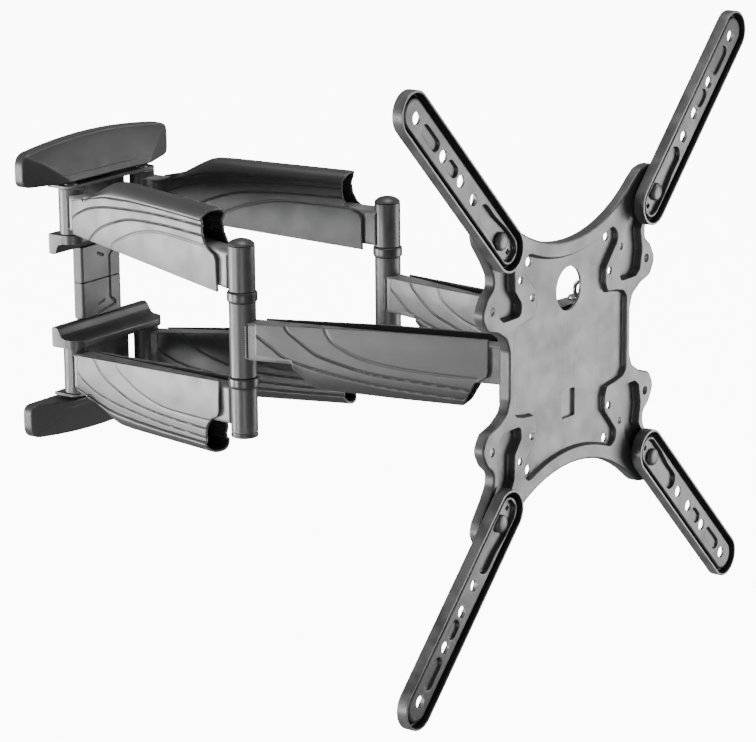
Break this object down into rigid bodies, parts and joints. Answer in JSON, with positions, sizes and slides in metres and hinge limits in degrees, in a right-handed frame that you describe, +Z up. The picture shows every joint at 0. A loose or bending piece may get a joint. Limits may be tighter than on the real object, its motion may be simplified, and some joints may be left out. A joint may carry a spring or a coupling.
{
  "type": "full motion tv wall mount",
  "caption": "Folding double-arm wall bracket with cable covers, a tilting X-shaped screen plate and pivoting slotted-hole extension arms.",
  "frame": {"origin": "on the wall, centred on the wall plate's column, at the middle height of the folding arms", "axes": "+X to the right of someone facing the wall, +Y into the wall, -Y towards the screen, +Z up"},
  "size_m": [0.4378, 0.459, 0.4378],
  "materials": {
    "black_steel": "satin textured powder coat",
    "black_plastic": "fine moulded grain",
    "zinc_hardware": "dark zinc plate",
    "nylon": "smooth nylon"
  },
  "bodies": {
    "wall": {"wall_plate": "black_steel", "upper_hinge_bracket": "black_steel", "lower_hinge_bracket": "black_steel", "upper_left_wall_bolt": "zinc_hardware", "upper_left_hinge_pin": "zinc_hardware", "upper_right_wall_bolt": "zinc_hardware", "upper_right_hinge_pin": "zinc_hardware", "lower_left_wall_bolt": "zinc_hardware", "lower_left_hinge_pin": "zinc_hardware", "lower_right_wall_bolt": "zinc_hardware", "lower_right_hinge_pin": "zinc_hardware", "top_end_cover": "black_plastic", "bottom_end_cover": "black_plastic", "upper_column_cover": "black_plastic", "lower_column_cover": "black_plastic"},
    "left_rear": {"left_upper_rear_arm": "black_steel", "left_upper_rear_cover": "black_plastic", "left_lower_rear_arm": "black_steel", "left_lower_rear_cover": "black_plastic", "left_elbow_top_cap": "black_plastic", "left_elbow_bottom_cap": "black_plastic", "left_elbow_shaft": "zinc_hardware"},
    "left_fore": {"left_forearm": "black_steel", "left_forearm_cover": "black_plastic", "left_upper_elbow_ring": "nylon", "left_lower_elbow_ring": "nylon"},
    "right_rear": {"right_upper_rear_arm": "black_steel", "right_upper_rear_cover": "black_plastic", "right_lower_rear_arm": "black_steel", "right_lower_rear_cover": "black_plastic", "right_elbow_top_cap": "black_plastic", "right_elbow_bottom_cap": "black_plastic", "right_elbow_shaft": "zinc_hardware"},
    "right_fore": {"right_forearm": "black_steel", "right_forearm_cover": "black_plastic", "right_upper_elbow_ring": "nylon", "right_lower_elbow_ring": "nylon"},
    "head": {"head_yoke": "black_steel", "left_head_pin": "zinc_hardware", "right_head_pin": "zinc_hardware"},
    "screen_plate": {"tilt_bracket": "black_steel", "tilt_bolt": "zinc_hardware", "tilt_nut": "zinc_hardware", "tv_plate": "black_steel", "upper_left_pivot_bolt": "zinc_hardware", "upper_left_pivot_spacer": "zinc_hardware", "upper_right_pivot_bolt": "zinc_hardware", "upper_right_pivot_spacer": "zinc_hardware", "lower_left_pivot_bolt": "zinc_hardware", "lower_left_pivot_spacer": "zinc_hardware", "lower_right_pivot_bolt": "zinc_hardware", "lower_right_pivot_spacer": "zinc_hardware"},
    "upper_left_arm": {"upper_left_extension_arm": "black_steel"},
    "upper_right_arm": {"upper_right_extension_arm": "black_steel"},
    "lower_left_arm": {"lower_left_extension_arm": "black_steel"},
    "lower_right_arm": {"lower_right_extension_arm": "black_steel"}
  },
  "joints": [
    {"name": "left_rear_fold", "type": "hinge", "parent": "wall", "child": "left_rear", "pos_m": [-0.042, -0.018, 0], "axis": [0, 0, -1], "range_deg": [-10, 68]},
    {"name": "left_elbow", "type": "hinge", "parent": "left_rear", "child": "left_fore", "pos_m": [-0.08989, -0.22216, 0], "axis": [0, 0, -1], "range_deg": [-136, 20]},
    {"name": "left_head_swivel", "type": "hinge", "parent": "left_fore", "child": "head", "pos_m": [-0.042, -0.42632, 0], "axis": [0, 0, -1], "range_deg": [-10, 68]},
    {"name": "right_rear_fold", "type": "hinge", "parent": "wall", "child": "right_rear", "pos_m": [0.042, -0.018, 0], "axis": [0, 0, 1], "range_deg": [-10, 68]},
    {"name": "right_elbow", "type": "hinge", "parent": "right_rear", "child": "right_fore", "pos_m": [0.08989, -0.22216, 0], "axis": [0, 0, 1], "range_deg": [-136, 20]},
    {"name": "tilt", "type": "hinge", "parent": "head", "child": "screen_plate", "pos_m": [0, -0.42632, 0], "axis": [1, 0, 0], "range_deg": [-5, 10]},
    {"name": "upper_left_arm_pivot", "type": "hinge", "parent": "screen_plate", "child": "upper_left_arm", "pos_m": [-0.1, -0.44802, 0.103], "axis": [0, 1, 0], "range_deg": [-45, 45]},
    {"name": "upper_right_arm_pivot", "type": "hinge", "parent": "screen_plate", "child": "upper_right_arm", "pos_m": [0.1, -0.44802, 0.103], "axis": [0, 1, 0], "range_deg": [-45, 45]},
    {"name": "lower_left_arm_pivot", "type": "hinge", "parent": "screen_plate", "child": "lower_left_arm", "pos_m": [-0.1, -0.44802, -0.097], "axis": [0, 1, 0], "range_deg": [-45, 45]},
    {"name": "lower_right_arm_pivot", "type": "hinge", "parent": "screen_plate", "child": "lower_right_arm", "pos_m": [0.1, -0.44802, -0.097], "axis": [0, 1, 0], "range_deg": [-45, 45]}
  ],
  "couplings": [
    {"joint": "left_elbow", "follows": "left_rear_fold", "ratio": -2},
    {"joint": "left_head_swivel", "follows": "left_rear_fold", "ratio": 1},
    {"joint": "right_rear_fold", "follows": "left_rear_fold", "ratio": 1},
    {"joint": "right_elbow", "follows": "left_rear_fold", "ratio": -2}
  ]
}
